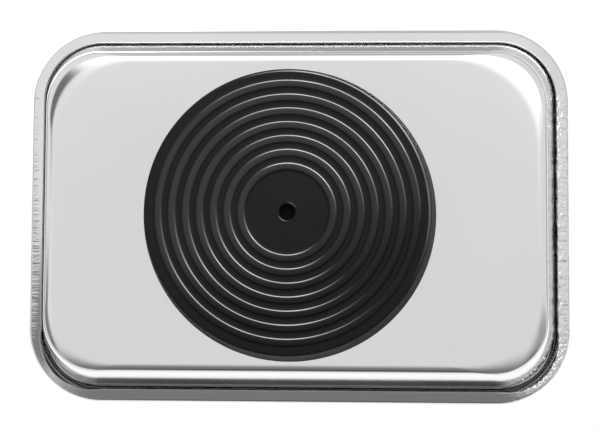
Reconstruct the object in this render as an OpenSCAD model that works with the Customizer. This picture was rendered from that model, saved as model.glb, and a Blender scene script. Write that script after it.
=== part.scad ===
// Magnetic parts tray: a drawn stainless pan with a rolled rim, on a rubber-covered ring magnet.
// Upright, in millimetres. The rings of the sole stand on z = 0, and the pan is centred on the Z axis.

/* [Pan] */
// Length over the rolled rim
tray_length = 152; // [120:1:240]
// Width over the rolled rim
tray_width = 105.5; // [96:0.5:200]
// Depth from the underside of the base to the top of the rim
tray_depth = 25; // [18:0.5:36]
// Thickness of the sheet
sheet_thickness = 0.7; // [0.5:0.05:1]
// Radius of the rim's corners, seen from above
corner_radius = 20.5; // [19:0.5:45]
// Slope of the walls away from upright, in degrees
wall_angle = 17.5; // [8:0.5:26]
// Outer radius of the bend between base and wall
bend_radius = 3.2; // [2:0.1:5]
// Diameter of the rolled rim
bead_diameter = 4.2; // [2.6:0.1:5]
// Slope of the roll's straight lip, which runs in and down towards the wall, in degrees
lip_angle = 28; // [10:1:45]
// Slit between the lip's raw edge and the wall
lip_slit = 0.3; // [0.2:0.1:1]

/* [Magnet] */
// Shift of the magnet from the middle of the pan, along its length
magnet_shift_x = -1.5; // [-6:0.5:6]
// Shift of the magnet from the middle of the pan, along its width
magnet_shift_y = 1; // [-6:0.5:6]
// Outer diameter of the ring magnet
magnet_diameter = 65; // [50:1:72]
// Bore of the ring magnet
magnet_bore = 32; // [20:1:40]
// Thickness of the ring magnet
magnet_thickness = 8; // [6:0.5:12]
// Chamfer on the ring magnet's edges
magnet_chamfer = 0.6; // [0.2:0.1:1.5]
// Diameter of the backing plate
plate_diameter = 66; // [50:1:73]
// Thickness of the backing plate
plate_thickness = 3; // [2:0.1:5]
// Width of the step round the backing plate that the boot's lip sits in
step_width = 3.5; // [1.5:0.1:6]
// Height of that step, which is the thickness of the boot's lip
step_height = 1.2; // [0.6:0.1:1.8]

/* [Boot] */
// Thickness of the boot's wall round the magnet, at the sole
boot_wall = 3.1; // [2:0.1:6]
// How much further the wall stands out at the pan than at the sole
boot_flare = 2.2; // [0:0.1:5]
// Thickness of the sole between its rings
sole_thickness = 1.7; // [1:0.1:4]
// Chamfer round the sole's edge
sole_chamfer = 0.5; // [0.2:0.1:1]
// Number of raised rings on the sole
ring_count = 7; // [1:1:7]
// Spacing of the rings
ring_pitch = 3.5; // [2.5:0.1:4]
// Width of a ring
ring_width = 1.7; // [0.8:0.1:2.4]
// Height of a ring
ring_height = 0.8; // [0.3:0.1:1.5]
// Plain border between the sole's edge and the outermost ring
sole_border = 2.7; // [1:0.1:5]
// Hole in the middle of the sole
sole_hole = 3.8; // [2:0.1:8]
// Chamfer round that hole
hole_chamfer = 0.6; // [0.2:0.1:1]

/* [Fastening] */
// Diameter of the screw
screw_diameter = 5; // [4:0.5:6]
// Length of thread that stands out below the nut
thread_standout = 1.4; // [0.5:0.1:2]
// Chamfer on the screw's tip
tip_chamfer = 0.6; // [0.2:0.1:1]
// Diameter of the screw's head
head_diameter = 9.5; // [8:0.1:12]
// Height of the screw's head
head_height = 3.2; // [2.4:0.1:4.5]
// Rise of the head's domed top
head_dome = 1; // [0.4:0.1:1.6]
// Span of the cross recess
recess_span = 4.8; // [3.6:0.1:5.4]
// Width of the cross recess
recess_width = 1.3; // [0.8:0.1:1.8]
// Depth of the cross recess
recess_depth = 1.9; // [1:0.1:2.2]
// Outer diameter of the washer under the head
head_washer_diameter = 11; // [10:0.5:16]
// Thickness of the washer under the head
head_washer_thickness = 1; // [0.5:0.1:1.6]
// Outer diameter of the split washer
lock_washer_diameter = 9.2; // [8:0.1:11]
// Thickness of the split washer
lock_washer_thickness = 1.2; // [0.8:0.1:1.6]
// Width of the split
lock_washer_split = 1; // [0.4:0.1:2]
// Width of the nut across its flats
nut_flats = 8; // [7:0.5:10]
// Height of the nut
nut_height = 2.7; // [2.2:0.1:3.2]

/* [Fits] */
// Play of a clearance hole over the screw, on the diameter
hole_play = 0.5; // [0.2:0.05:1]
// Play of the thread in the nut, on the diameter
thread_play = 0.1; // [0.05:0.05:0.3]
// Gap between the boot and what it covers, on the radius
boot_gap = 0.15; // [0.05:0.05:0.4]

/* [Hidden] */
$fn = 96;

// Cuts run past the faces that they open by this much
cut_past = 1;

// Heights, from the sole up
sole_face_z = ring_height;
magnet_z = sole_face_z + sole_thickness;
plate_z = magnet_z + magnet_thickness;
base_z = plate_z + plate_thickness;
floor_z = base_z + sheet_thickness;
rim_z = base_z + tray_depth;
head_z = floor_z + head_washer_thickness;
lock_washer_z = plate_z - lock_washer_thickness;
nut_z = lock_washer_z - nut_height;
screw_tip_z = nut_z - thread_standout;

// Radii round the magnet's axis
magnet_r = magnet_diameter / 2;
plate_r = plate_diameter / 2;
boss_r = plate_r - step_width;
sole_r = max(magnet_r, plate_r) + boot_gap + boot_wall;
foot_r = sole_r + boot_flare;
hole_r = (screw_diameter + hole_play) / 2;

// The axes of the pan's four corners
corner_x = tray_length / 2 - corner_radius;
corner_y = tray_width / 2 - corner_radius;

// The pan's section, as distance from a corner's axis and height
bead_r = bead_diameter / 2;
bead_core_r = bead_r - sheet_thickness;
bead_center = [corner_radius - bead_r, rim_z - bead_r];
wall_up = [sin(wall_angle), cos(wall_angle)];
wall_out = [cos(wall_angle), -sin(wall_angle)];
// Where the wall's outer face runs into the roll, and how far below that the bend ends
wall_top = bead_center - bead_core_r * wall_out;
wall_run = (wall_top[1] - base_z - bend_radius * (1 - sin(wall_angle))) / cos(wall_angle);
wall_foot = wall_top - wall_run * wall_up;
bend_center = wall_foot - bend_radius * wall_out;
// The roll turns over from the wall until it meets the lip, which runs on straight and stops at the slit
roll_start = 180 - wall_angle;
roll_end = lip_angle - 90;
lip_out = [sin(lip_angle), -cos(lip_angle)];
lip_run = [-cos(lip_angle), -sin(lip_angle)];
lip_start = bead_center + bead_core_r * lip_out;
lip_length = ((lip_start - wall_top) * wall_out - lip_slit) / -(lip_run * wall_out);
lip_end = lip_start + lip_length * lip_run;
bend_steps = 10;
roll_steps = 24;

// Sides of the nut
nut_sides = 6;

function arc(center, r, from, to, steps) =
    [for (i = [0 : steps])
        let (angle = from + (to - from) * i / steps)
        center + r * [cos(angle), sin(angle)]];

module ring_2d(outer_r, inner_r) {
    difference() {
        circle(outer_r);
        circle(inner_r);
    }
}

// Base, bend, wall and rolled rim of the sheet in section: out along its lower face, back along its upper
module sheet_section() {
    polygon(concat(
        [[0, base_z]],
        arc(bend_center, bend_radius, -90, -wall_angle, bend_steps),
        arc(bead_center, bead_core_r, roll_start, roll_end, roll_steps),
        [lip_end, lip_end + sheet_thickness * lip_out],
        arc(bead_center, bead_r, roll_end, roll_start, roll_steps),
        arc(bend_center, bend_radius - sheet_thickness, -wall_angle, -90, bend_steps),
        [[0, floor_z]]));
}

// One straight side and the corner at its left end, seen from outside
module pan_side(turn, distance, half_length) {
    rotate([0, 0, turn]) {
        translate([distance, 0, 0])
            rotate([90, 0, 0])
                linear_extrude(2 * half_length, center = true) sheet_section();
        translate([distance, half_length, 0])
            rotate_extrude(angle = 90) sheet_section();
    }
}

module on_magnet_axis() {
    translate([magnet_shift_x, magnet_shift_y, 0]) children();
}

module tray_pan() {
    color("silver") difference() {
        union() {
            for (turn = [0, 180]) {
                pan_side(turn, corner_x, corner_y);
                pan_side(turn + 90, corner_y, corner_x);
            }
            translate([-corner_x, -corner_y, base_z])
                cube([2 * corner_x, 2 * corner_y, sheet_thickness]);
        }
        on_magnet_axis()
            translate([0, 0, base_z - cut_past])
                cylinder(r = hole_r, h = sheet_thickness + 2 * cut_past);
    }
}

// Half section of the boot: in along the ringed sole, up through its hole, out and up round what it covers,
// in under the lip that hooks over the backing plate's step, and down the tapered wall
module boot_section() {
    bore_r = sole_hole / 2;
    lip_z = base_z - step_height;
    polygon(concat(
        [[sole_r - sole_chamfer, sole_face_z]],
        [for (i = [0 : ring_count - 1])
            let (outer_r = sole_r - sole_border - i * ring_pitch, inner_r = outer_r - ring_width)
            each [[outer_r, sole_face_z], [outer_r, 0], [inner_r, 0], [inner_r, sole_face_z]]],
        [[bore_r + hole_chamfer, sole_face_z], [bore_r, sole_face_z + hole_chamfer], [bore_r, magnet_z]],
        [[magnet_r + boot_gap, magnet_z], [magnet_r + boot_gap, plate_z]],
        [[plate_r + boot_gap, plate_z], [plate_r + boot_gap, lip_z]],
        [[boss_r + boot_gap, lip_z], [boss_r + boot_gap, base_z], [foot_r, base_z]],
        [[sole_r, sole_face_z + sole_chamfer]]));
}

module magnet_boot() {
    color("#262626") on_magnet_axis() rotate_extrude() boot_section();
}

module ring_magnet() {
    bore_r = magnet_bore / 2;
    top_z = magnet_z + magnet_thickness;
    color("#4a4a4d") on_magnet_axis() rotate_extrude() polygon([
        [bore_r + magnet_chamfer, magnet_z],
        [magnet_r - magnet_chamfer, magnet_z],
        [magnet_r, magnet_z + magnet_chamfer],
        [magnet_r, top_z - magnet_chamfer],
        [magnet_r - magnet_chamfer, top_z],
        [bore_r + magnet_chamfer, top_z],
        [bore_r, top_z - magnet_chamfer],
        [bore_r, magnet_z + magnet_chamfer]]);
}

module backing_plate() {
    color("#8f9194") on_magnet_axis() translate([0, 0, plate_z]) difference() {
        union() {
            cylinder(r = plate_r, h = plate_thickness - step_height);
            cylinder(r = boss_r, h = plate_thickness);
        }
        translate([0, 0, -cut_past])
            cylinder(r = hole_r, h = plate_thickness + 2 * cut_past);
    }
}

// Plain shank at the thread's outer diameter, which runs up into the head
module shank_section() {
    shank_r = screw_diameter / 2;
    shank_top_z = head_z + head_height - head_dome;
    polygon([[0, screw_tip_z],
        [shank_r - tip_chamfer, screw_tip_z],
        [shank_r, screw_tip_z + tip_chamfer],
        [shank_r, shank_top_z],
        [0, shank_top_z]]);
}

module head_section() {
    head_r = head_diameter / 2;
    dome_r = (head_r * head_r + head_dome * head_dome) / (2 * head_dome);
    intersection() {
        translate([0, head_z]) square([head_r, head_height]);
        translate([0, head_z + head_height - dome_r]) circle(dome_r);
    }
}

// Domed pan head with a cross recess, on its shank
module pan_screw() {
    color("#b9bcc0") on_magnet_axis() difference() {
        union() {
            rotate_extrude() head_section();
            rotate_extrude() shank_section();
        }
        for (turn = [0, 90])
            rotate([0, 0, turn])
                translate([-recess_span / 2, -recess_width / 2, head_z + head_height - recess_depth])
                    cube([recess_span, recess_width, recess_depth + cut_past]);
    }
}

module head_washer() {
    color("#c9ccd0") on_magnet_axis()
        translate([0, 0, floor_z])
            linear_extrude(head_washer_thickness) ring_2d(head_washer_diameter / 2, hole_r);
}

// Spring washer drawn flat by the nut, with its split open towards +X
module lock_washer() {
    color("#9a9da1") on_magnet_axis()
        translate([0, 0, lock_washer_z])
            linear_extrude(lock_washer_thickness) difference() {
                ring_2d(lock_washer_diameter / 2, hole_r);
                translate([0, -lock_washer_split / 2])
                    square([lock_washer_diameter, lock_washer_split]);
            }
}

// Thin hexagon nut with its corners turned off on the lower face
module hex_nut() {
    corner_r = nut_flats / 2 / cos(180 / nut_sides);
    flat_r = nut_flats / 2;
    color("#b0b3b7") on_magnet_axis() translate([0, 0, nut_z]) difference() {
        intersection() {
            cylinder(r = corner_r, h = nut_height, $fn = nut_sides);
            cylinder(r1 = flat_r, r2 = flat_r + nut_height, h = nut_height);
        }
        translate([0, 0, -cut_past])
            cylinder(d = screw_diameter + thread_play, h = nut_height + 2 * cut_past);
    }
}

tray_pan();
magnet_boot();
ring_magnet();
backing_plate();
pan_screw();
head_washer();
lock_washer();
hex_nut();
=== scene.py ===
import math

import bmesh
import bpy
import numpy as np
from mathutils import Matrix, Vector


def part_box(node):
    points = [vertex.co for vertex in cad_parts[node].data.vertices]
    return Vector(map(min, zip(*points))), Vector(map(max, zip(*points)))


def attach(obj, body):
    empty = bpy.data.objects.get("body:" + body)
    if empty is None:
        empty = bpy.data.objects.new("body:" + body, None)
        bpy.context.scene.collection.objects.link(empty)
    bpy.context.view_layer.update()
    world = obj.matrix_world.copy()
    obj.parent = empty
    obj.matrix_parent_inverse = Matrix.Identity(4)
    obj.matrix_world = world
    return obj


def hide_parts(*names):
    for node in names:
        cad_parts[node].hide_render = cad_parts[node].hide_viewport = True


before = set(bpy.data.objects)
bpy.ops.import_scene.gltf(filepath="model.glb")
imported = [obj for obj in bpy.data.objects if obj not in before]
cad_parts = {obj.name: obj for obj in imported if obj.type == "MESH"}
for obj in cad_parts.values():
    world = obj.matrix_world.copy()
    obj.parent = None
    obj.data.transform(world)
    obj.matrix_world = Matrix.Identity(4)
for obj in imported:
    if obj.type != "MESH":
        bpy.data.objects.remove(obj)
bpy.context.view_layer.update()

# The magnetic parts tray stands upright in the frame, and the camera looks up at its underside.
# Lengths are in metres.
MM = 0.001
FULL_TURN = 2 * math.pi
QUARTER_TURN = math.pi / 2
MERGE_DISTANCE = 1e-7

pan_low, pan_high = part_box("tray_pan")
boot_low, boot_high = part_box("magnet_boot")
screw_low, screw_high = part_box("pan_screw")
washer_low, washer_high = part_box("head_washer")
magnet_x = (boot_low.x + boot_high.x) / 2
magnet_y = (boot_low.y + boot_high.y) / 2
magnet_axis = np.array([magnet_x, magnet_y])

# Pan: the sheet's section
SHEET = 0.7 * MM
CORNER_RADIUS = 20.5 * MM
WALL_ANGLE = math.radians(17.5)
BEND_RADIUS = 3.2 * MM
BEAD_RADIUS = 2.1 * MM
LIP_ANGLE = math.radians(28)
LIP_SLIT = 0.3 * MM
RAW_EDGE = 0.05 * MM
FLAT_MARGIN = 0.3 * MM
PAN_HOLE_RADIUS = 2.75 * MM

# Pan: how its corners and ends change below the roll
EASED_FROM = 4.5 * MM
EASED_SHARE = 0.75
END_SPREAD = 0.75 * MM
BASE_LEAN = 0.3 * MM
SOFT_RADIUS = 9.0 * MM
SOFT_END = 2.0 * MM
SOFT_TWIST = 1.0 * MM
SOFT_RISE = 2.4 * MM

# Pan: the uneven roll and lip. A random curve has its fewest and most waves all round, then its seed.
RIPPLE_DEPTH = 0.045 * MM
FINE_RIPPLES = (60, 150, 5)
FINE_SHARE = 0.3
LONG_RIPPLES = (9, 30, 8)
LONG_SHARE = 0.2
EDGE_WAVER = 0.06 * MM
EDGE_WAVES = (25, 90, 11)
LIP_RETREAT = 1.4 * MM
LIP_REACH = 0.28 * MM
LIP_REACH_ENDS = 0.9

# Pan: strength of the wear that its finish shows
WRINKLES = 0.15
WRINKLES_RIGHT = 0.85
WRINKLES_LEFT = 0.3
WEAR_ABOVE_BEAD = 0.3
DENTS_RIGHT = 0.25
DENTS_RISE = 1.5
DENTS_ON_ROLL = 0.3

# Pan: points of its grid
CORNER_COLUMNS = 44
SIDE_STEP = 1.0 * MM
FLAT_ROWS = 13
LOWER_BEND_ROWS = 22
LOWER_WALL_ROWS = 12
INNER_ROLL_ROWS = 12
INNER_LIP_ROWS = 4
RAW_EDGE_ROWS = 5
OUTER_LIP_ROWS = 14
OUTER_ROLL_ROWS = 40
UPPER_WALL_ROWS = 10
UPPER_BEND_ROWS = 14

# Boot: its section
SOLE_RADIUS = 36.25 * MM
SOLE_FACE = 0.62 * MM
SOLE_CHAMFER = 0.5 * MM
SOLE_BORDER = 2.7 * MM
RING_COUNT = 7
RING_PITCH = 3.5 * MM
RING_WIDTH = 2.0 * MM
RING_DRAFT = 0.20 * MM
RING_CROWN = 0.12 * MM
SOLE_BORE = 1.9 * MM
BORE_CHAMFER = 0.42 * MM
HOLE_LIP_RISE = 0.24 * MM
MAGNET_Z = 2.5 * MM
PLATE_Z = 10.5 * MM
LIP_Z = 12.3 * MM
MAGNET_POCKET = 32.65 * MM
PLATE_POCKET = 33.15 * MM
LIP_BORE = 29.65 * MM

# Boot: how far its corners are rounded, and points of its grid
RING_EDGE = 0.24 * MM
RING_FOOT = 0.50 * MM
SOLE_EDGE = 0.3 * MM
HOLE_LIP_EDGE = 0.25 * MM
BORE_EDGE = 0.4 * MM
FOOT_EDGE = 0.2 * MM
POCKET_EDGE = 0.1 * MM
EDGE_STEPS = 5
BOOT_COLUMNS = 280

# Boot: uneven rings and hole, and the sides on which edges are rubbed shiny
RING_WAVER = 0.05 * MM
RING_WAVES = (2, 9, 3)
WAVER_TURNS_PER_METRE = 3
HOLE_LIP_DROP = 0.8
HOLE_SHINE = math.radians(120)
RUBBED_SIDE = math.radians(-65)
RUBBED_RIM = math.radians(-40)
RUBBED_GAIN = 2.1
RUBBED_LOSS = 0.72

# Screw and washer
SHANK_RADIUS = 2.5 * MM
TIP_CHAMFER = 0.6 * MM
THREAD_PITCH = 0.8 * MM
THREAD_DEPTH = 0.45 * MM
THREAD_RUNOUT = 0.5 * MM
THREAD_ROWS = 140
HEAD_HEIGHT = 3.2 * MM
HEAD_DOME = 1.0 * MM
HEAD_EDGE = 0.35 * MM
HEAD_EDGE_TURN = math.radians(62)
HEAD_EDGE_ROWS = 8
SEAT_EDGE = 0.2 * MM
SEAT_GAP = 0.02 * MM
CROWN_ROWS = 90
CROWN_BLEND = 6
RECESS_SPAN = 4.8 * MM
RECESS_WIDTH = 1.3 * MM
RECESS_DEPTH = 1.9 * MM
RECESS_TAPER = 0.35 * MM
SCREW_COLUMNS = 192
WASHER_EDGE = 0.15 * MM
WASHER_COLUMNS = 128

# Rounded outlines: the most that a rounding takes of a side, and where the points that keep flats flat stand
ROUNDING_SHARE = 0.42
KEEPER_REACH = 1.15

# Random curves: the least and the most weight of a wave
WAVE_WEIGHTS = (0.4, 1.0)

# Steel: noise along the rim is read on a circle, so that it closes on itself. A pace sets how fast it
# changes across the sheet. The flat base's dull finish has a soft border at its bend.
WRAP_RADIUS = 80 * MM
WRINKLE_PACE = 0.12
DENT_PACE = 1.6
DENT_GAIN = 8.0
FLAT_FADE = (0.02 * MM, 0.35 * MM)

# Rubber: soft borders of the rings' tops of painted light and of the wall, and the slanting span over which
# painted shade darkens the sole and fades the tops
LIT_TOP_FADE = (-0.45 * MM, 0.35 * MM)
WALL_FADE = (0.4 * MM, 1.2 * MM)
SHADE_SLANT = 0.35
SHADE_SPAN = (-5 * MM, 24 * MM)

# Zinc: the soft border of the painted shade on the screw's end in the magnet's bore, up from its tip
TIP_SHADE_FADE = (1.2 * MM, 1.7 * MM)

# Studio: levels of white
DARKEST_BELOW = 0.06
WHITE_BELOW = 1.0
WHITE_ABOVE = 1.05

# Floor
FLOOR_REACHES = (0.0, 0.3, 0.7, 1.5, 4.0)
FLOOR_COLUMNS = 96
FLOOR_FADE = (0.22, 0.9)

# Photograph: 600 by 432 pixels
FOCAL_PIXELS = 1116.2
FRAME_PIXELS = 600
SENSOR_WIDTH_MM = 36.0
NEAREST_SEEN = 0.01
CAMERA_PLACE = (11.37 * MM, 16.77 * MM, -278.73 * MM)
CAMERA_TURNS = (math.radians(-3.018), math.radians(1.969), math.radians(0.173))


class Wire:
    """One output of a node. Arithmetic on wires adds Math nodes to the same tree."""

    def __init__(self, tree, socket):
        self.tree = tree
        self.socket = socket

    def __add__(self, other):
        return self.tree.maths("ADD", self, other)

    __radd__ = __add__

    def __sub__(self, other):
        return self.tree.maths("SUBTRACT", self, other)

    def __rsub__(self, other):
        return self.tree.maths("SUBTRACT", other, self)

    def __mul__(self, other):
        return self.tree.maths("MULTIPLY", self, other)

    __rmul__ = __mul__

    def __neg__(self):
        return self.tree.maths("MULTIPLY", self, -1)


class Tree:
    """A node tree that is filled by its generic method, node."""

    def __init__(self, holder):
        holder.use_nodes = True
        self.nodes = holder.node_tree.nodes
        self.links = holder.node_tree.links
        self.nodes.clear()

    def node(self, kind, settings, inputs, output=0):
        """Adds a node, sets its own settings, then its sockets, and returns one output as a wire."""
        made = self.nodes.new(kind)
        for name, value in settings.items():
            setattr(made, name, value)
        for name, value in inputs.items():
            if isinstance(value, Wire):
                self.links.new(value.socket, made.inputs[name])
            else:
                made.inputs[name].default_value = value
        return Wire(self, made.outputs[output]) if made.outputs else None

    def maths(self, operation, first, second=0.0):
        return self.node("ShaderNodeMath", {"operation": operation}, {0: first, 1: second})

    def length(self, x, y):
        """The length of a level vector: the square root of the sum of its squares."""
        return self.maths("POWER", x * x + y * y, 0.5)

    def axes(self, vector):
        """The three parts of a vector, each as a wire."""
        split = self.node("ShaderNodeSeparateXYZ", {}, {"Vector": vector})
        return [Wire(self, socket) for socket in split.socket.node.outputs]

    def joined(self, x, y, z):
        return self.node("ShaderNodeCombineXYZ", {}, {"X": x, "Y": y, "Z": z})

    def stretched(self, vector, factors):
        return self.node("ShaderNodeVectorMath", {"operation": "MULTIPLY"}, {0: vector, 1: factors})

    def noise(self, vector, scale, detail=2.0, rough=0.5):
        sockets = {"Vector": vector, "Scale": scale, "Detail": detail, "Roughness": rough}
        return self.node("ShaderNodeTexNoise", {}, sockets)

    def smooth(self, value, low, high):
        """0 below low, 1 above high and a smooth step between them."""
        sockets = {"Value": value, "From Min": low, "From Max": high}
        return self.node("ShaderNodeMapRange", {"interpolation_type": "SMOOTHSTEP"}, sockets)

    def past(self, angle, low, high):
        """The same step between two angles in degrees."""
        return self.smooth(angle, math.radians(low), math.radians(high))

    def band(self, angle, low, high, soft):
        """1 between two angles in degrees and 0 outside them, with soft ends."""
        return self.past(angle, low - soft, low + soft) * (1 - self.past(angle, high - soft, high + soft))

    def mixed(self, factor, first, second):
        """A colour between two colours, or wires of colours."""
        sockets = {"Factor": factor, 6: first, 7: second}
        return self.node("ShaderNodeMix", {"data_type": "RGBA"}, sockets, 2)

    def mixed_shaders(self, factor, first, second):
        return self.node("ShaderNodeMixShader", {}, {0: factor, 1: first, 2: second})

    def bump(self, height, distance, normal=None):
        sockets = {"Height": height, "Distance": distance, "Strength": 1.0}
        if normal is not None:
            sockets["Normal"] = normal
        return self.node("ShaderNodeBump", {}, sockets)

    def place(self):
        return self.node("ShaderNodeTexCoord", {}, {}, "Object")

    def stored(self, name):
        return self.node("ShaderNodeAttribute", {"attribute_name": name}, {}, "Fac")

    def light_path(self, name):
        return self.node("ShaderNodeLightPath", {}, {}, name)

    def surface(self, shader):
        self.node("ShaderNodeOutputMaterial", {}, {"Surface": shader})

    def principled(self, **sockets):
        named = {name.replace("_", " "): value for name, value in sockets.items()}
        return self.node("ShaderNodeBsdfPrincipled", {}, named)


def grey(level):
    return (level, level, level, 1)


# Surfaces on grids

def arc(centre, radius, start, end, steps):
    """Points of a circle's arc, from one angle to another."""
    angle = np.linspace(start, end, steps)
    return np.stack([centre[0] + radius * np.cos(angle), centre[1] + radius * np.sin(angle)], 1)


def straight(start, end, steps):
    """Points of a straight run, both ends left out."""
    share = np.linspace(0, 1, steps + 2)[1:-1, None]
    return (1 - share) * np.asarray(start) + share * np.asarray(end)


def rounded(corners, radii, steps):
    """A closed outline with each corner replaced by a parabola that touches both its sides.
    A point is kept just outside each end of the curve, so that flats stay flat when shaded."""
    back = np.roll(corners, 1, 0) - corners
    ahead = np.roll(corners, -1, 0) - corners
    back_length = np.linalg.norm(back, axis=1)
    ahead_length = np.linalg.norm(ahead, axis=1)
    reach = np.minimum(radii, ROUNDING_SHARE * np.minimum(back_length, ahead_length))[:, None]
    back /= back_length[:, None]
    ahead /= ahead_length[:, None]
    share = np.linspace(0, 1, steps)[None, :, None]
    enter = (corners + back * reach)[:, None]
    leave = (corners + ahead * reach)[:, None]
    curve = (1 - share) ** 2 * enter + 2 * share * (1 - share) * corners[:, None] + share**2 * leave
    before = (corners + KEEPER_REACH * back * reach)[:, None]
    after = (corners + KEEPER_REACH * ahead * reach)[:, None]
    return np.concatenate([before, curve, after], 1).reshape(-1, 2)


def waves(share, lowest, highest, seed):
    """A smooth random curve round a closed path, between -1 and 1: a sum of cosines of whole counts,
    with random phases and weights."""
    random = np.random.default_rng(seed)
    count = np.arange(lowest, highest + 1)
    phase = random.uniform(0, FULL_TURN, len(count))
    weight = random.uniform(*WAVE_WEIGHTS, len(count))
    total = (weight * np.cos(FULL_TURN * share[..., None] * count + phase)).sum(-1)
    return total / np.abs(total).max()


def face_corners(face_rows, face_columns):
    """Row and column of each face's four corners, on a grid with that many rows and columns of faces."""
    row, column = np.meshgrid(np.arange(face_rows), np.arange(face_columns), indexing="ij")
    row_step, column_step = np.array([[0, 0, 1, 1], [0, 1, 1, 0]])
    return row[..., None] + row_step, column[..., None] + column_step


def grid_mesh(name, grid, poles=False):
    """A mesh on a grid of points. Its columns close round, and its rows close too unless they end in poles.
    The surface map runs round in whole turns and across in metres. Faces are turned outwards by the sign of
    the volume that they enclose."""
    rows, columns = grid.shape[:2]
    row, column = face_corners(rows - 1 if poles else rows, columns)
    faces = ((row % rows) * columns + column % columns).reshape(-1, 4)
    points = grid.reshape(-1, 3)
    across = np.linalg.norm(np.diff(grid[:, 0], axis=0, append=grid[:1, 0]), axis=1)
    across = np.concatenate([[0], np.cumsum(across)])
    chart = np.stack([column / columns, across[row]], -1).reshape(-1, 4, 2)
    first, second, third, fourth = (points[faces[:, corner]] for corner in range(4))
    volume = (np.cross(second - first, third - first) * first).sum()
    volume += (np.cross(third - first, fourth - first) * first).sum()
    if volume < 0:
        faces, chart = faces[:, ::-1], chart[:, ::-1]
    mesh = bpy.data.meshes.new(name)
    mesh.from_pydata(points, [], faces.tolist())
    layer = mesh.uv_layers.new(name="surface")
    layer.data.foreach_set("uv", chart.astype(np.float32).ravel())
    mesh.polygons.foreach_set("use_smooth", np.ones(len(faces), bool))
    mesh.update()
    if poles:
        close_poles(mesh)
    return mesh


def close_poles(mesh):
    """Merges the points of a pole's row into one."""
    work = bmesh.new()
    work.from_mesh(mesh)
    bmesh.ops.remove_doubles(work, verts=work.verts, dist=MERGE_DISTANCE)
    work.to_mesh(mesh)
    work.free()


def store(mesh, name, values):
    """Keeps one number for each point of a mesh, for its material."""
    mesh.attributes.new(name, "FLOAT", "POINT").data.foreach_set("value", values.astype(np.float32).ravel())


def revolved(outline, columns):
    """An outline of radius and height, carried round the magnet's axis, and the angle of each column."""
    angle = np.arange(columns) / columns * FULL_TURN
    radius = outline[:, :1]
    x = magnet_x + radius * np.cos(angle)
    y = magnet_y + radius * np.sin(angle)
    return np.stack([x, y, np.broadcast_to(outline[:, 1:], x.shape)], -1), angle


def add_piece(name, mesh, material, node):
    """Shows a mesh as a piece that rides on the tray and stands for a node of the frame."""
    piece = bpy.data.objects.new(name, mesh)
    bpy.context.scene.collection.objects.link(piece)
    mesh.materials.append(material)
    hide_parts(node)
    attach(piece, "root")


# Pan. Its section's directions and points are distances out from a corner's axis, and heights.

base_z, rim_z = pan_low.z, pan_high.z
core_radius = BEAD_RADIUS - SHEET
wall_out = np.array([math.cos(WALL_ANGLE), -math.sin(WALL_ANGLE)])
wall_up = np.array([math.sin(WALL_ANGLE), math.cos(WALL_ANGLE)])
bead = np.array([CORNER_RADIUS - BEAD_RADIUS, rim_z - BEAD_RADIUS])
wall_top = bead - core_radius * wall_out
wall_run = (wall_top[1] - base_z - BEND_RADIUS * (1 - wall_up[0])) / wall_up[1]
bend = wall_top - wall_run * wall_up - BEND_RADIUS * wall_out
roll_start = math.pi - WALL_ANGLE
roll_end = LIP_ANGLE - QUARTER_TURN
lip_out = np.array([math.sin(LIP_ANGLE), -math.cos(LIP_ANGLE)])
lip_run = np.array([-math.cos(LIP_ANGLE), -math.sin(LIP_ANGLE)])
lip_start = bead + core_radius * lip_out
lip_length = ((lip_start - wall_top) @ wall_out - LIP_SLIT) / -(lip_run @ wall_out)


def pan_section():
    """The sheet's closed section, out along its lower face and back along its upper one: arcs for the bends,
    the roll and the raw edge's two corners, with straight runs between them. Each row has the name of its
    stretch."""
    near_edge = lip_start + (lip_length - RAW_EDGE) * lip_run + RAW_EDGE * lip_out
    far_edge = near_edge + (SHEET - 2 * RAW_EDGE) * lip_out
    flat_end = bend[0] - FLAT_MARGIN
    lower_bend = arc(bend, BEND_RADIUS, -QUARTER_TURN, -WALL_ANGLE, LOWER_BEND_ROWS)
    inner_roll = arc(bead, core_radius, roll_start, roll_end, INNER_ROLL_ROWS)
    near_turn = arc(near_edge, RAW_EDGE, roll_end - math.pi, roll_end - QUARTER_TURN, RAW_EDGE_ROWS)
    far_turn = arc(far_edge, RAW_EDGE, roll_end - QUARTER_TURN, roll_end, RAW_EDGE_ROWS)
    outer_roll = arc(bead, BEAD_RADIUS, roll_end, roll_start, OUTER_ROLL_ROWS)
    upper_bend = arc(bend, BEND_RADIUS - SHEET, -WALL_ANGLE, -QUARTER_TURN, UPPER_BEND_ROWS)
    stretches = {
        "lower_margin": [[flat_end, base_z]],
        "lower_bend": lower_bend,
        "lower_wall": straight(lower_bend[-1], inner_roll[0], LOWER_WALL_ROWS),
        "inner_roll": inner_roll,
        "inner_lip": straight(inner_roll[-1], near_turn[0], INNER_LIP_ROWS),
        "near_turn": near_turn,
        "far_turn": far_turn,
        "outer_lip": straight(far_turn[-1], outer_roll[0], OUTER_LIP_ROWS),
        "outer_roll": outer_roll,
        "upper_wall": straight(outer_roll[-1], upper_bend[0], UPPER_WALL_ROWS),
        "upper_bend": upper_bend,
        "upper_margin": [[flat_end, base_z + SHEET]],
    }
    names = np.repeat(list(stretches), [len(rows) for rows in stretches.values()])
    return np.concatenate(list(stretches.values())), names


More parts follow.
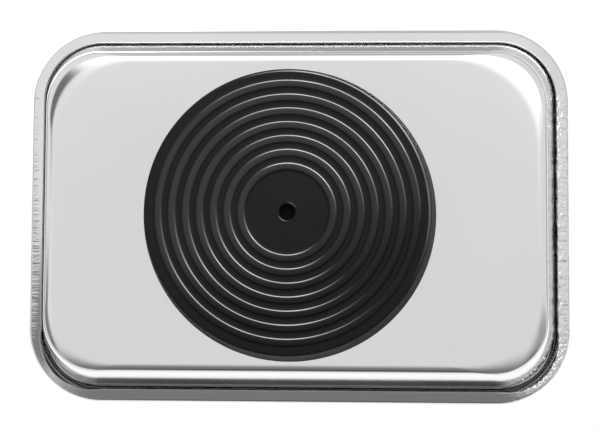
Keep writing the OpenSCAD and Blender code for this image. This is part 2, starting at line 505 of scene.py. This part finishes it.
def rim_path(half_length, half_width):
    """Columns round a rounded oblong: which corner axis each stands on, its outward direction and its share
    of the way. A quarter turn about each corner's axis is followed by a straight side to the next one."""
    steps = np.linspace(0, 1, CORNER_COLUMNS)
    signs = np.array([(1, 1), (-1, 1), (-1, -1), (1, -1)])
    stand, outward, along = [], [], [np.zeros(1)]
    for quarter, sign in enumerate(signs):
        angle = QUARTER_TURN * (quarter + steps)
        following = signs[(quarter + 1) % len(signs)]
        run = np.abs(following - sign) @ (half_length, half_width)
        side = straight(sign, following, int(run / SIDE_STEP))
        stand += [np.tile(sign, (CORNER_COLUMNS, 1)), side]
        outward.append(np.stack([np.cos(angle), np.sin(angle)], 1))
        outward.append(np.tile(outward[-1][-1], (len(side), 1)))
        along.append(along[-1][-1] + CORNER_RADIUS * (angle[1:] - angle[0]))
        along.append(along[-1][-1] + np.arange(1, len(side) + 2) / (len(side) + 1) * run)
    along = np.concatenate(along)
    return np.concatenate(stand), np.concatenate(outward), along[:-1] / along[-1]


def pan_mesh():
    """The sheet's section, carried along the rim's path. The roll's outer face sinks by random curves along
    the path. The raw edge wavers by another, draws back at the +Y corners and reaches nearer the wall at -Y
    and -X. The section is then set round the corner axes: a corner's radius grows by a share of the inset
    past the roll, and near the base by a soft radius that falls with the square root of the height. Below the
    roll the ends spread and the pan leans to -X, both in step with the depth. The flat base runs straight in
    to the screw hole. The wear is stored as products of a share for each row and a share for each column."""
    section, names = pan_section()
    stand, outward, along = rim_path(pan_high.x - CORNER_RADIUS, pan_high.y - CORNER_RADIUS)
    on_lip = np.isin(names, ["inner_lip", "near_turn", "far_turn", "outer_lip"])
    on_top = np.isin(names, ["upper_wall", "upper_bend", "upper_margin"])
    on_outside = np.isin(names, ["far_turn", "outer_lip", "outer_roll"])
    lip_share = on_lip * np.clip((section - lip_start) @ lip_run / lip_length, 0, 1)
    shown = on_outside * np.clip((section[:, 0] - wall_top[0]) / BEAD_RADIUS, 0, 1)

    away = (section - bead) / np.linalg.norm(section - bead, axis=1, keepdims=True)
    away = np.where(on_lip[:, None], lip_out, away)
    sink = FINE_SHARE * (waves(along, *FINE_RIPPLES) - 1) + LONG_SHARE * (waves(along, *LONG_RIPPLES) - 1)
    depth = RIPPLE_DEPTH * np.outer(shown, sink)
    at_corner = 2 * np.abs(outward[:, 0] * outward[:, 1])
    retreat = LIP_RETREAT * at_corner * (1 + stand[:, 1]) / 2
    retreat += EDGE_WAVER * (1 - waves(along, *EDGE_WAVES)) / 2
    retreat -= LIP_REACH * np.clip(-outward[:, 1] - LIP_REACH_ENDS * outward[:, 0], 0, 1)
    shift = np.outer(lip_share, retreat)
    formed = section[:, None] + depth[..., None] * away[:, None] - shift[..., None] * lip_run

    inset = CORNER_RADIUS - formed[..., 0]
    height = formed[..., 1]
    rise = np.clip((height - base_z - SHEET * on_top[:, None]) / SOFT_RISE, 0, 1)
    soft = SOFT_RADIUS + SOFT_END * stand[:, 0] + SOFT_TWIST * stand[:, 0] * stand[:, 1]
    eased = EASED_SHARE * np.clip(inset - EASED_FROM, 0, None)
    radius = CORNER_RADIUS - inset + eased + soft * (1 - np.sqrt(rise))
    roll_low = rim_z - 2 * BEAD_RADIUS
    below_roll = np.clip((roll_low - height) / (roll_low - base_z), 0, 1)
    axis_x = pan_high.x - inset - radius + END_SPREAD * below_roll
    axis_y = pan_high.y - inset - radius
    plan_x = stand[:, 0] * axis_x + outward[:, 0] * radius - BASE_LEAN * below_roll
    plan_y = stand[:, 1] * axis_y + outward[:, 1] * radius
    shell = np.stack([plan_x, plan_y, height], -1)

    inwards = shell[0, :, :2] - magnet_axis
    hole_edge = magnet_axis + PAN_HOLE_RADIUS * inwards / np.linalg.norm(inwards, axis=1, keepdims=True)
    share = np.linspace(0, 1, FLAT_ROWS, endpoint=False)[:, None, None]
    flat = (1 - share) * hole_edge + share * shell[0, :, :2]
    lower = np.concatenate([flat, np.full(flat.shape[:2] + (1,), base_z)], -1)
    upper = np.concatenate([flat[::-1], np.full(flat.shape[:2] + (1,), base_z + SHEET)], -1)
    mesh = grid_mesh("tray_pan_polished", np.concatenate([lower, shell, upper]))

    under_roll = shown * np.clip((bead[1] - section[:, 1]) / BEAD_RADIUS + WEAR_ABOVE_BEAD, 0, 1)
    beside_slit = lip_share * np.isin(names, ["far_turn", "outer_lip"]) + DENTS_ON_ROLL * under_roll
    raw = np.isin(names, ["near_turn", "far_turn"])
    right = np.clip(outward[:, 0], 0, 1)
    left = np.clip(-outward[:, 0], 0, 1)
    wrinkled = WRINKLES + WRINKLES_RIGHT * right + WRINKLES_LEFT * left
    dented = right**DENTS_RISE * np.clip(DENTS_RIGHT + outward[:, 1], 0, 1)
    everywhere = np.ones(len(along))
    wear = {"wrinkled": (under_roll, wrinkled), "dented": (beside_slit, dented), "raw": (raw, everywhere)}
    for name, (rows, columns) in wear.items():
        store(mesh, name, np.outer(np.pad(rows, FLAT_ROWS), columns))
    return mesh


# Boot

def boot_corners():
    """Corners of the boot's closed half section, in along the ringed sole and back down the wall: radius,
    height, how far the corner is rounded, and its shine, which is 1 on edges that face out and -1 on edges
    that face in."""
    foot = (boot_high.x - boot_low.x) / 2
    top = boot_high.z
    lip = SOLE_BORE + BORE_CHAMFER
    corners = [(SOLE_RADIUS - SOLE_CHAMFER, SOLE_FACE, SOLE_EDGE, 1)]
    for ring in range(RING_COUNT):
        outer = SOLE_RADIUS - SOLE_BORDER - ring * RING_PITCH
        inner = outer - RING_WIDTH
        corners += [
            (outer + RING_DRAFT, SOLE_FACE, RING_FOOT, 0),
            (outer - RING_DRAFT, RING_CROWN, RING_EDGE, 1),
            ((outer + inner) / 2, 0, RING_EDGE, 0),
            (inner + RING_DRAFT, RING_CROWN, RING_EDGE, -1),
            (inner - RING_DRAFT, SOLE_FACE, RING_FOOT, 0),
        ]
    corners += [
        (lip + BORE_CHAMFER, SOLE_FACE, SOLE_EDGE, 0),
        (lip, SOLE_FACE - HOLE_LIP_RISE, HOLE_LIP_EDGE, 1),
        (SOLE_BORE, SOLE_FACE + BORE_CHAMFER, BORE_EDGE, 0),
        (SOLE_BORE, MAGNET_Z, FOOT_EDGE, 0),
        (MAGNET_POCKET, MAGNET_Z, POCKET_EDGE, 0),
        (MAGNET_POCKET, PLATE_Z, POCKET_EDGE, 0),
        (PLATE_POCKET, PLATE_Z, POCKET_EDGE, 0),
        (PLATE_POCKET, LIP_Z, POCKET_EDGE, 0),
        (LIP_BORE, LIP_Z, POCKET_EDGE, 0),
        (LIP_BORE, top, FOOT_EDGE, 0),
        (foot, top, FOOT_EDGE, 0),
        (SOLE_RADIUS, SOLE_FACE + SOLE_CHAMFER, SOLE_EDGE, 0),
    ]
    return np.array(corners, float)


def boot_mesh():
    """The boot's half section with its corners rounded, carried round its axis. The rings' tops waver by a
    random curve that turns with the radius, and the lip of the sole's hole stands out less on one side, by a
    cosine. Edges are rubbed where the cosine of their angle from one side is large, and the hole's lip shines
    in two arcs."""
    corners = boot_corners()
    outline = rounded(corners[:, :2], corners[:, 2], EDGE_STEPS)
    grid, angle = revolved(outline, BOOT_COLUMNS)
    radius, height = outline[:, :1], outline[:, 1:]
    lip = SOLE_BORE + BORE_CHAMFER
    near_sole = np.clip(1 - height / SOLE_FACE, 0, 1)
    waver = RING_WAVER * (1 + waves(angle / FULL_TURN + WAVER_TURNS_PER_METRE * radius, *RING_WAVES)) / 2
    at_lip = np.clip(1 - np.abs(radius - lip) / BORE_CHAMFER, 0, 1) * (height < MAGNET_Z)
    low_side = 0.5 - 0.5 * np.cos(angle - HOLE_SHINE)
    grid[..., 2] += near_sole * waver + HOLE_LIP_DROP * HOLE_LIP_RISE * at_lip * low_side
    mesh = grid_mesh("magnet_boot_moulded", grid)

    on_curve = np.pad(np.ones(EDGE_STEPS), 1)
    shine = np.outer(corners[:, 3], on_curve).reshape(-1, 1)
    side = np.where(radius > SOLE_RADIUS - SOLE_BORDER, RUBBED_RIM, RUBBED_SIDE)
    rubbed = np.clip(RUBBED_GAIN * shine * np.cos(angle - side) - RUBBED_LOSS, 0, 1)
    arcs = np.clip(np.cos(2 * (angle - HOLE_SHINE)), 0, 1) ** 2
    store(mesh, "edge", np.where(radius < lip + BORE_CHAMFER, shine * arcs, rubbed))
    return mesh


# Screw and washer

def screw_mesh():
    """The screw as rows of radius and height from its tip to its crown, carried round its axis. The shank's
    radius follows a helix, the crown is part of a sphere, and its height falls into two crossed slots with
    sloping flanks."""
    head_radius = (screw_high.x - screw_low.x) / 2
    tip = screw_low.z
    seat = screw_high.z - HEAD_HEIGHT
    shoulder = screw_high.z - HEAD_DOME
    point = [[0, tip], [SHANK_RADIUS - TIP_CHAMFER, tip]]
    thread_z = np.linspace(tip + TIP_CHAMFER, seat - SEAT_GAP, THREAD_ROWS)
    shank = np.stack([np.full_like(thread_z, SHANK_RADIUS), thread_z], 1)
    under_head = [[SHANK_RADIUS, seat], [head_radius - SEAT_EDGE, seat], [head_radius, seat + SEAT_EDGE]]
    edge_centre = (head_radius - HEAD_EDGE, shoulder - HEAD_EDGE)
    head_edge = arc(edge_centre, HEAD_EDGE, 0, HEAD_EDGE_TURN, HEAD_EDGE_ROWS)
    sphere = (head_radius**2 + HEAD_DOME**2) / (2 * HEAD_DOME)
    crown_radius = np.linspace(head_edge[-1, 0], 0, CROWN_ROWS)
    crown_z = screw_high.z - sphere + np.sqrt(sphere**2 - crown_radius**2)
    crown_z -= (crown_z[0] - head_edge[-1, 1]) * (crown_radius / crown_radius[0]) ** CROWN_BLEND
    crown = np.stack([crown_radius, crown_z], 1)[1:]
    outline = np.concatenate([point, shank, under_head, head_edge, crown])

    grid, angle = revolved(outline, SCREW_COLUMNS)
    height = outline[:, 1:]
    on_thread = (height > tip + TIP_CHAMFER) & (height < seat - THREAD_RUNOUT)
    helix = 0.5 - 0.5 * np.cos(FULL_TURN * height / THREAD_PITCH - angle)
    shrink = 1 - on_thread * helix * THREAD_DEPTH / SHANK_RADIUS
    grid[..., :2] = magnet_axis + (grid[..., :2] - magnet_axis) * shrink[..., None]
    x, y = np.moveaxis(np.abs(grid[..., :2] - magnet_axis), -1, 0)
    slot = np.maximum(x - RECESS_SPAN / 2, y - RECESS_WIDTH / 2)
    cross_slot = np.maximum(y - RECESS_SPAN / 2, x - RECESS_WIDTH / 2)
    inside = np.clip(-np.minimum(slot, cross_slot) / RECESS_TAPER, 0, 1)
    inside = inside**2 * (3 - 2 * inside)
    grid[..., 2] -= inside * RECESS_DEPTH * (height > shoulder)
    return grid_mesh("pan_screw_plated", grid, poles=True)


def washer_mesh():
    """The flat washer's section with softened edges, carried round the screw."""
    outer = (washer_high.x - washer_low.x) / 2
    low, high = washer_low.z, washer_high.z
    corners = np.array([(PAN_HOLE_RADIUS, low), (outer, low), (outer, high), (PAN_HOLE_RADIUS, high)])
    grid, _ = revolved(rounded(corners, WASHER_EDGE, EDGE_STEPS), WASHER_COLUMNS)
    return grid_mesh("head_washer_plated", grid)


# Finishes

def new_material(name):
    material = bpy.data.materials.new(name)
    return material, Tree(material)


def polished_steel():
    """Polished stainless sheet with faint smears and polishing lines, a little duller on the flat base. The
    roll has short wrinkles across it and dents beside the slit where the mesh stores them, and its raw edge
    is darker and duller."""
    material, tree = new_material("polished_steel")
    place = tree.place()
    _, _, z = tree.axes(place)
    turn, across, _ = tree.axes(tree.node("ShaderNodeUVMap", {"uv_map": "surface"}, {}))
    wrap_x = tree.maths("COSINE", turn * FULL_TURN) * WRAP_RADIUS
    wrap_y = tree.maths("SINE", turn * FULL_TURN) * WRAP_RADIUS
    along_wrinkles = tree.joined(wrap_x, wrap_y, across * WRINKLE_PACE)
    along_dents = tree.joined(wrap_x, wrap_y, across * DENT_PACE)
    wrinkles = tree.noise(along_wrinkles, scale=900.0, detail=3.0, rough=0.6)
    dents = tree.noise(along_dents, scale=560.0, detail=3.0)
    smear = tree.noise(place, scale=34.0, detail=3.0)
    lines = tree.noise(tree.stretched(place, (14.0, 1500.0, 1500.0)), scale=1.0)
    on_flat = 1 - tree.smooth(z - base_z, *FLAT_FADE)
    raw = tree.stored("raw")
    sheet_colour = tree.mixed(smear, grey(0.64), grey(0.68))
    colour = tree.mixed(raw, sheet_colour, grey(0.52))
    roughness = 0.06 + 0.04 * smear + 0.02 * lines + 0.04 * on_flat + 0.10 * raw
    crumple = (wrinkles - 0.5) * tree.stored("wrinkled") + (dents - 0.5) * tree.stored("dented") * DENT_GAIN
    fine = tree.bump(lines, distance=0.0004 * MM)
    normal = tree.bump(crumple, distance=0.34 * MM, normal=fine)
    tree.surface(tree.principled(Base_Color=colour, Metallic=1.0, Roughness=roughness, Normal=normal))
    return material


def black_rubber():
    """Moulded black rubber with a fine open grain and dull bloom. On the sole, the rings' tops are soft
    lighter bands of painted light about each ring's middle radius, and painted shade darkens the sole and
    fades these bands towards +Y and +X. Edges that the mesh stores as rubbed have a gloss."""
    material, tree = new_material("black_rubber")
    place = tree.place()
    x, y, z = tree.axes(place)
    radius = tree.length(x - magnet_x, y - magnet_y)
    bloom = tree.noise(place, scale=60.0, detail=4.0)
    grain = tree.noise(place, scale=2600.0, detail=3.0, rough=0.6)
    pits = tree.noise(place, scale=900.0)
    normal = tree.bump(grain * 0.6 + pits * 0.4, distance=0.004 * MM)

    first_ring = SOLE_RADIUS - SOLE_BORDER - RING_WIDTH / 2
    last_ring = first_ring - (RING_COUNT - 1) * RING_PITCH
    inside_first = 1 - tree.smooth(radius, first_ring, first_ring + RING_PITCH / 2)
    outside_last = tree.smooth(radius, last_ring - RING_PITCH / 2, last_ring)
    off_ring = tree.maths("PINGPONG", radius - first_ring, RING_PITCH / 2)
    off_top = tree.smooth(off_ring - RING_WIDTH / 2, *LIT_TOP_FADE)
    # Painted light: a lighter band on each ring's top, about its middle radius.
    top = outside_last * inside_first * (1 - off_top)
    # Painted shade: darker towards +Y and +X, on the sole and on the rings' lit tops.
    painted_shade = tree.smooth(y + SHADE_SLANT * x, *SHADE_SPAN)
    sole_tone = tree.mixed(bloom - 0.5 * painted_shade, grey(0.005), grey(0.009))
    sole = tree.principled(
        Base_Color=tree.mixed(top * (1 - 0.9 * painted_shade), sole_tone, grey(0.024)),
        Roughness=0.40 + 0.10 * bloom,
        Specular_IOR_Level=0.08,
        Coat_Weight=tree.stored("edge") * (0.7 + 0.3 * tree.smooth(bloom, 0.40, 0.60)),
        Coat_Roughness=0.15,
        Coat_IOR=2.1,
        Normal=normal,
    )
    wall = tree.principled(
        Base_Color=tree.mixed(bloom, grey(0.011), grey(0.022)),
        Roughness=0.55 + 0.2 * grain,
        Specular_IOR_Level=0.07,
        Normal=normal,
    )
    on_wall = tree.smooth(z - SOLE_FACE, *WALL_FADE)
    tree.surface(tree.mixed_shaders(on_wall, sole, wall))
    return material


def bright_zinc():
    """Bright zinc plate: a cool tint that turns yellowish in patches, with fine turned marks. The screw's
    end below the nut is painted dull and black, as shade in the magnet's bore."""
    material, tree = new_material("bright_zinc")
    place = tree.place()
    _, _, z = tree.axes(place)
    # Painted shade: the screw's end in the bore is black and dull, the rest is plated zinc.
    unshaded = tree.smooth(z - screw_low.z, *TIP_SHADE_FADE)
    patches = tree.noise(place, scale=260.0, detail=3.0)
    marks = tree.noise(tree.stretched(place, (700.0, 700.0, 9000.0)), scale=1.0)
    plate = tree.mixed(patches, (0.60, 0.63, 0.68, 1), (0.70, 0.69, 0.65, 1))
    colour = tree.mixed(unshaded, grey(0.004), plate)
    roughness = 0.9 - unshaded * (0.70 - 0.14 * patches - 0.06 * marks)
    normal = tree.bump(marks, distance=0.002 * MM)
    tree.surface(tree.principled(Base_Color=colour, Metallic=unshaded, Roughness=roughness, Normal=normal))
    return material


def plate_steel():
    """Dull plated mild steel with pressed-sheet mottling."""
    material, tree = new_material("plate_steel")
    mottle = tree.noise(tree.place(), scale=180.0, detail=4.0)
    colour = tree.mixed(mottle, grey(0.40), grey(0.55))
    roughness = 0.30 + 0.2 * mottle
    normal = tree.bump(mottle, distance=0.01 * MM)
    tree.surface(tree.principled(Base_Color=colour, Metallic=1.0, Roughness=roughness, Normal=normal))
    return material


def ferrite():
    """Ground ferrite: charcoal grains with grinding marks one way."""
    material, tree = new_material("ferrite")
    place = tree.place()
    grains = tree.noise(place, scale=3000.0, detail=3.0, rough=0.7)
    marks = tree.noise(tree.stretched(place, (60.0, 2400.0, 60.0)), scale=1.0)
    colour = tree.mixed(grains, grey(0.035), grey(0.085))
    normal = tree.bump(grains * 0.5 + marks * 0.5, distance=0.01 * MM)
    tree.surface(tree.principled(Base_Color=colour, Roughness=0.42 + 0.2 * grains, Normal=normal))
    return material


# Studio

def floor():
    """A pale round floor under the upright tray that runs out to white, as rings of points at growing
    reaches. It is clear from below, and stays clear to a ray that has already passed it, so that the camera
    below sees the tray in the light of the studio."""
    angle = np.linspace(0, FULL_TURN, FLOOR_COLUMNS, endpoint=False)
    reach = np.array(FLOOR_REACHES)[:, None]
    grid = np.stack(np.broadcast_arrays(reach * np.cos(angle), reach * np.sin(angle), 0.0), -1)
    row, column = face_corners(len(reach) - 1, FLOOR_COLUMNS)
    faces = (row * FLOOR_COLUMNS + column % FLOOR_COLUMNS).reshape(-1, 4)[:, ::-1]
    mesh = bpy.data.meshes.new("floor")
    mesh.from_pydata(grid.reshape(-1, 3), [], faces.tolist())
    close_poles(mesh)
    piece = bpy.data.objects.new("floor", mesh)
    bpy.context.scene.collection.objects.link(piece)

    material, tree = new_material("floor")
    mesh.materials.append(material)
    x, y, _ = tree.axes(tree.place())
    far = tree.smooth(tree.length(x, y), *FLOOR_FADE)
    paint = tree.node("ShaderNodeBsdfDiffuse", {}, {"Color": grey(0.68)})
    white = tree.node("ShaderNodeEmission", {}, {"Color": grey(1.0), "Strength": 1.0})
    clear = tree.node("ShaderNodeBsdfTransparent", {}, {})
    from_below = tree.node("ShaderNodeNewGeometry", {}, {}, "Backfacing")
    passed = tree.maths("GREATER_THAN", tree.light_path("Transparent Depth"), 0.5)
    see_through = tree.maths("MAXIMUM", from_below, passed)
    tree.surface(tree.mixed_shaders(see_through, tree.mixed_shaders(far, paint, white), clear))


def surroundings():
    """A white studio. The camera sees plain white. The object sees about the same white, with lights and
    cards in it that are products of smooth steps in direction. Below are a softbox and its halo towards -Y,
    a dark side at +Y and grey cards. Above are a light towards +Y, bright ends, a shaded belt, a dim zenith
    and a low card at +Y. Two angles place them: polar from straight down, and turn from -Y towards +X."""
    world = bpy.data.worlds.new("studio")
    bpy.context.scene.world = world
    tree = Tree(world)
    x, y, z = tree.axes(tree.node("ShaderNodeTexCoord", {}, {}, "Generated"))
    polar = tree.maths("ARCCOSINE", -z)
    turn = tree.maths("ARCTAN2", x, -y)

    dark_side = 0.74 * tree.smooth(y, 0.36, 0.90) + 0.18 * tree.smooth(y, 0.95, 0.99)
    left_card = 0.78 * tree.smooth(y, -0.05, 0.03) * tree.smooth(-x, 0.75, 0.90)
    right_card = 0.50 * tree.smooth(y, 0.05, 0.30) * tree.smooth(x, 0.55, 0.80)
    corner_card = 0.85 * tree.band(polar, 38, 63, 5) * tree.band(turn, -80, -44, 6)
    far_card = 0.52 * tree.smooth(-y, 0.93, 0.985)
    bright_patch = 0.08 * tree.smooth(-0.64 * x - 0.77 * y, 0.18, 0.34)
    carded = WHITE_BELOW - dark_side - left_card - right_card - corner_card - far_card + bright_patch
    softbox = 5.5 * tree.band(polar, 31, 57, 4) * tree.band(turn, -26, 56, 12)
    halo = 0.5 * tree.past(polar, 9, 28) * (1 - tree.past(polar, 58, 66)) * tree.band(turn, -40, 72, 16)
    below = tree.maths("MAXIMUM", carded, DARKEST_BELOW) + softbox + halo

    belt = tree.smooth(z, 0.12, 0.30) * (1 - tree.smooth(z, 0.55, 0.80))
    shaded_belt = 0.45 * belt * (1 - tree.smooth(y, 0.10, 0.70))
    high_light = 0.24 * tree.smooth(y, 0.02, 0.34) * tree.smooth(z, 0.25, 0.55)
    end_belt = tree.smooth(z, 0.70, 0.77) * (1 - tree.smooth(z, 0.86, 0.92))
    bright_ends = 0.35 * tree.smooth(x * x, 0.18, 0.28) * end_belt
    dim_zenith = 0.50 * tree.smooth(z, 0.90, 0.98) * (1 - tree.smooth(y, 0.02, 0.15))
    low_card = 0.70 * tree.smooth(y, 0.90, 0.98) * (1 - tree.smooth(z, 0.12, 0.26))
    above = WHITE_ABOVE + bright_ends + high_light - shaded_belt - dim_zenith - low_card

    upwards = tree.smooth(z, -0.01, 0.01)
    dome = upwards * above + (1 - upwards) * below
    by_camera = tree.light_path("Is Camera Ray")
    strength = by_camera + (1 - by_camera) * dome
    shader = tree.node("ShaderNodeBackground", {}, {"Color": grey(1.0), "Strength": strength})
    tree.node("ShaderNodeOutputWorld", {}, {"Surface": shader})


def lamp(name, place, aim, size, power):
    """A soft square lamp that faces a point and doesn't show."""
    data = bpy.data.lights.new(name, "AREA")
    data.shape = "SQUARE"
    data.size = size
    data.energy = power
    piece = bpy.data.objects.new(name, data)
    bpy.context.scene.collection.objects.link(piece)
    back = np.array(place) - np.array(aim)
    back /= np.linalg.norm(back)
    side = np.cross((0.0, 0.0, 1.0), back)
    side /= np.linalg.norm(side)
    turned = Matrix(np.stack([side, np.cross(back, side), back], 1).tolist()).to_4x4()
    turned.translation = place
    piece.matrix_world = turned
    piece.visible_camera = False


def camera():
    """The photograph's camera, below the tray and looking up. Right in its picture is +X and down is +Y."""
    turn_x, turn_y, turn_z = (Matrix.Rotation(angle, 3, axis) for angle, axis in zip(CAMERA_TURNS, "XYZ"))
    right, down, ahead = turn_z @ turn_y @ turn_x
    data = bpy.data.cameras.new("camera")
    data.sensor_width = SENSOR_WIDTH_MM
    data.lens = SENSOR_WIDTH_MM * FOCAL_PIXELS / FRAME_PIXELS
    data.clip_start = NEAREST_SEEN
    piece = bpy.data.objects.new("camera", data)
    bpy.context.scene.collection.objects.link(piece)
    turned = Matrix((right, -down, -ahead)).transposed().to_4x4()
    turned.translation = CAMERA_PLACE
    piece.matrix_world = turned
    bpy.context.scene.camera = piece


camera()
floor()
surroundings()
lamp("key_above", place=(-0.35, -0.45, 0.75), aim=(0, 0, 0.02), size=0.6, power=2.5)

zinc = bright_zinc()
add_piece("tray_pan_polished", pan_mesh(), polished_steel(), "tray_pan")
add_piece("magnet_boot_moulded", boot_mesh(), black_rubber(), "magnet_boot")
add_piece("pan_screw_plated", screw_mesh(), zinc, "pan_screw")
add_piece("head_washer_plated", washer_mesh(), zinc, "head_washer")
kept_nodes = {"ring_magnet": ferrite(), "backing_plate": plate_steel(), "lock_washer": zinc, "hex_nut": zinc}
for node_name, finish in kept_nodes.items():
    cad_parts[node_name].data.materials.clear()
    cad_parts[node_name].data.materials.append(finish)

bpy.context.scene.view_settings.view_transform = "Standard"
